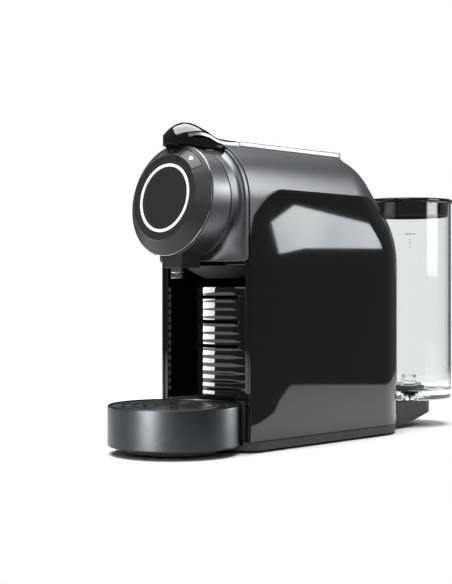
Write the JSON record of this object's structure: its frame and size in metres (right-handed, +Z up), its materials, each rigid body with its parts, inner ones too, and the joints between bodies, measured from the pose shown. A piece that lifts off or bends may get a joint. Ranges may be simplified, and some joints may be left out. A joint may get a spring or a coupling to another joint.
{
  "type": "pod coffee machine",
  "caption": "Slim pod coffee machine with a round tilted button face, top lever, ribbed capsule bin, round drip tray and a clear rear water tank.",
  "frame": {"origin": "centre of the bounding box on the table, under the machine", "axes": "+Z up, +Y from the spout side to the water tank, +X to the side of the machine that is on the right when facing the spout"},
  "size_m": [0.109, 0.4214, 0.272],
  "materials": {
    "gunmetal": "satin metallic",
    "gloss_black": "polished",
    "satin_black": "fine satin",
    "dark_plastic": "satin",
    "face_grey": "satin metallic",
    "silver_lever": "brushed, anodised",
    "bright_trim": "polished",
    "ring_white": "translucent light pipe",
    "clear_tank": "clear",
    "soft_rubber": "matte",
    "steel": "plain",
    "inner_plastic": "moulded, plain",
    "heater_metal": "cast",
    "board_green": "solder mask",
    "hose_clear": "silicone",
    "pump_body": "plain"
  },
  "bodies": {
    "body": {"base_plate": "dark_plastic", "rubber_feet": "soft_rubber", "inner_frame": "inner_plastic", "body_shell": "gunmetal", "left_side_panel": "gloss_black", "right_side_panel": "gloss_black", "rear_cover": "satin_black", "mains_inlet": "dark_plastic", "switch_housing": "dark_plastic", "front_bay": "gloss_black", "tray_dock": "dark_plastic", "head_barrel": "gunmetal", "head_collar": "gunmetal", "face_bezel": "face_grey", "face_disc": "satin_black", "indicator_ring": "ring_white", "bezel_trim": "bright_trim", "face_carrier": "inner_plastic", "button_board": "board_green", "spout_housing": "face_grey", "spout_nozzle": "bright_trim", "brew_chamber": "inner_plastic", "lever_pins": "steel", "capsule_port": "satin_black", "capsule_chute": "dark_plastic", "pump": "pump_body", "pump_mounts": "soft_rubber", "heater_block": "heater_metal", "heater_brackets": "steel", "flow_meter": "inner_plastic", "control_board": "board_green", "feed_hose": "hose_clear", "hot_water_pipe": "hose_clear", "tank_bracket": "dark_plastic", "inlet_coupling": "dark_plastic", "base_screws": "steel"},
    "lever": {"lever_bar": "silver_lever", "lever_grip": "gloss_black", "lever_arms": "steel"},
    "piston": {"brew_piston": "inner_plastic", "piston_seal": "soft_rubber", "piercing_needles": "steel"},
    "links": {"toggle_links": "steel"},
    "short_button": {"short_cup_button": "face_grey"},
    "medium_button": {"medium_cup_button": "face_grey"},
    "long_button": {"long_cup_button": "face_grey"},
    "rocker": {"power_rocker": "gloss_black"},
    "tray": {"drip_tray": "gunmetal"},
    "grille": {"drip_grille": "satin_black"},
    "bin": {"capsule_bin": "gloss_black"},
    "tank": {"water_tank": "clear_tank", "valve_cage": "dark_plastic"},
    "lid": {"tank_lid": "gloss_black"},
    "valve": {"tank_valve": "dark_plastic"}
  },
  "joints": [
    {"name": "lever_hinge", "type": "hinge", "parent": "body", "child": "lever", "pos_m": [0, 0.03935, 0.249], "axis": [-1, 0, 0], "range_deg": [0, 75]},
    {"name": "piston_slide", "type": "slide", "parent": "body", "child": "piston", "axis": [0, 1, 0], "range_m": [0, 0.0165]},
    {"name": "link_hinge", "type": "hinge", "parent": "piston", "child": "links", "pos_m": [0, -0.03065, 0.2063], "axis": [1, 0, 0], "range_deg": [0, 19]},
    {"name": "short_button_press", "type": "slide", "parent": "body", "child": "short_button", "axis": [0, 0.9869, -0.1616], "range_m": [0, 0.0008], "stiffness_N_per_m": 900},
    {"name": "medium_button_press", "type": "slide", "parent": "body", "child": "medium_button", "axis": [0, 0.9869, -0.1616], "range_m": [0, 0.0008], "stiffness_N_per_m": 900},
    {"name": "long_button_press", "type": "slide", "parent": "body", "child": "long_button", "axis": [0, 0.9869, -0.1616], "range_m": [0, 0.0008], "stiffness_N_per_m": 900},
    {"name": "rocker_tilt", "type": "hinge", "parent": "body", "child": "rocker", "pos_m": [0, 0.10795, 0.108], "axis": [1, 0, 0], "range_deg": [-8, 8]},
    {"name": "tray_slide", "type": "slide", "parent": "body", "child": "tray", "axis": [0, -1, 0], "range_m": [0, 0.08]},
    {"name": "grille_lift", "type": "slide", "parent": "tray", "child": "grille", "axis": [0, 0, 1], "range_m": [0, 0.0025]},
    {"name": "bin_slide", "type": "slide", "parent": "body", "child": "bin", "axis": [0, -1, 0], "range_m": [0, 0.09]},
    {"name": "tank_lift", "type": "slide", "parent": "body", "child": "tank", "axis": [0, 0, 1], "range_m": [0, 0.08]},
    {"name": "lid_lift", "type": "slide", "parent": "tank", "child": "lid", "axis": [0, 0, 1], "range_m": [0, 0.05]},
    {"name": "valve_slide", "type": "slide", "parent": "tank", "child": "valve", "axis": [0, 0, -1], "range_m": [0, 0.003]}
  ],
  "couplings": [
    {"joint": "piston_slide", "follows": "lever_hinge", "m_per_rad": 0.0126},
    {"joint": "link_hinge", "follows": "lever_hinge", "ratio": 0.25},
    {"joint": "valve_slide", "follows": "tank_lift", "ratio": 0.0375}
  ]
}
